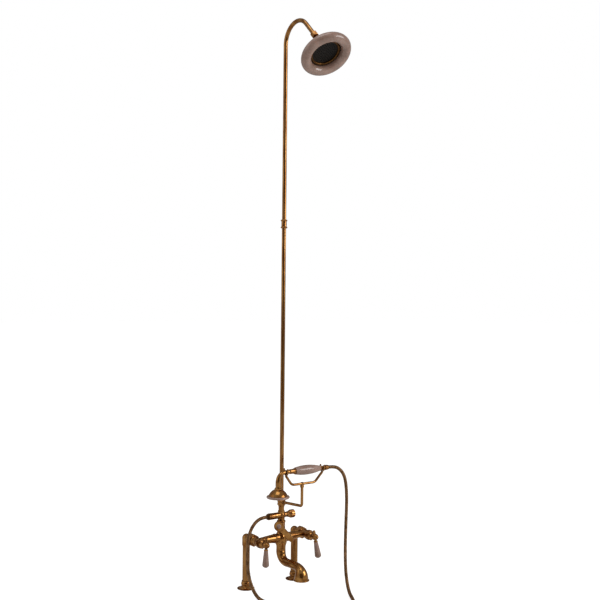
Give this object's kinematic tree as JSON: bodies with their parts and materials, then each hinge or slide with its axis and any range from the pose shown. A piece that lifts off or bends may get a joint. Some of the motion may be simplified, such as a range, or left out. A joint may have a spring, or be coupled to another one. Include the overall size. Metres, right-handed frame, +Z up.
{
  "type": "bath shower mixer",
  "caption": "Deck-standing bath mixer with lever valves, curved spout, cradled hand shower on a hose, and a tall riser with an overhead porcelain-ringed shower head.",
  "frame": {"origin": "on the deck, midway between the axes of the two legs, which are 177.8 mm apart", "axes": "+Z up; -Y is the front, where the spout, the levers and both shower heads are; +X is the user's right"},
  "size_m": [0.3033, 0.4592, 1.7643],
  "materials": {
    "brass": "polished",
    "dark_brass": "satin",
    "porcelain": "gloss",
    "spray_face": "matte",
    "seal": "matte",
    "disc_ceramic": "polished",
    "hose_brass": "satin"
  },
  "bodies": {
    "root": {"deck_flanges": "brass", "leg_base_nuts": "brass", "leg_shanks": "brass", "leg_tubes": "brass", "elbows": "brass", "union_nuts": "brass", "union_washers": "seal", "mixer_body": "brass", "spout": "brass", "valve_bonnets": "brass", "valve_cartridges": "brass", "valve_discs": "disc_ceramic", "diverter_bonnet": "brass", "diverter_cartridge": "brass", "transfer_tee": "brass", "transfer_gland": "brass", "column_neck": "brass", "cradle_collar": "brass", "cradle_arm": "brass", "cradle_knob": "brass", "cradle_yoke": "brass", "riser_tube": "brass", "riser_coupling": "brass", "gooseneck_tube": "brass", "gooseneck_nut": "brass", "head_ball": "brass", "hose_tee_nut": "brass", "hose_tee_ferrule": "dark_brass", "hose_left": "hose_brass", "hose_coil": "hose_brass"},
    "hot_handle": {"hot_spindle": "brass", "hot_lever_hub": "brass", "hot_lever_rod": "brass", "hot_lever_porcelain": "porcelain", "hot_lever_cap_screw": "brass"},
    "cold_handle": {"cold_spindle": "brass", "cold_lever_hub": "brass", "cold_lever_rod": "brass", "cold_lever_porcelain": "porcelain", "cold_lever_cap_screw": "brass"},
    "diverter_handle": {"diverter_spindle": "brass", "diverter_lever": "brass", "diverter_button": "porcelain"},
    "transfer_handle": {"transfer_spindle": "brass", "transfer_knob": "brass"},
    "shower_head": {"head_socket": "brass", "head_dome": "brass", "head_porcelain_ring": "porcelain", "head_bezel": "brass", "head_spray_plate": "spray_face"},
    "handset": {"handset_neck": "brass", "handset_bell": "brass", "handset_rim": "porcelain", "handset_spray_plate": "spray_face", "handset_ferrule": "brass", "handset_grip": "porcelain", "handset_tail": "brass", "hose_handset_nut": "brass", "hose_handset_ferrule": "dark_brass", "hose_right": "hose_brass"}
  },
  "joints": [
    {"name": "hot_turn", "type": "hinge", "parent": "root", "child": "hot_handle", "pos_m": [-0.0889, -0.107, 0.1524], "axis": [0, 1, 0], "range_deg": [0, 90]},
    {"name": "cold_turn", "type": "hinge", "parent": "root", "child": "cold_handle", "pos_m": [0.0889, -0.107, 0.1524], "axis": [0, -1, 0], "range_deg": [0, 90]},
    {"name": "diverter_turn", "type": "hinge", "parent": "root", "child": "diverter_handle", "pos_m": [0, -0.055, 0.193], "axis": [-0.7193, -0.6947, 0], "range_deg": [0, 90]},
    {"name": "transfer_turn", "type": "hinge", "parent": "root", "child": "transfer_handle", "pos_m": [0.03, -0.055, 0.22], "axis": [1, 0, 0], "range_deg": [0, 180]},
    {"name": "head_tilt", "type": "hinge", "parent": "root", "child": "shower_head", "pos_m": [0, -0.21824, 1.61962], "axis": [1, 0, 0], "range_deg": [-15, 15]},
    {"name": "handset_lift", "type": "slide", "parent": "root", "child": "handset", "axis": [0, 0, 1], "range_m": [0, 0.03]}
  ]
}
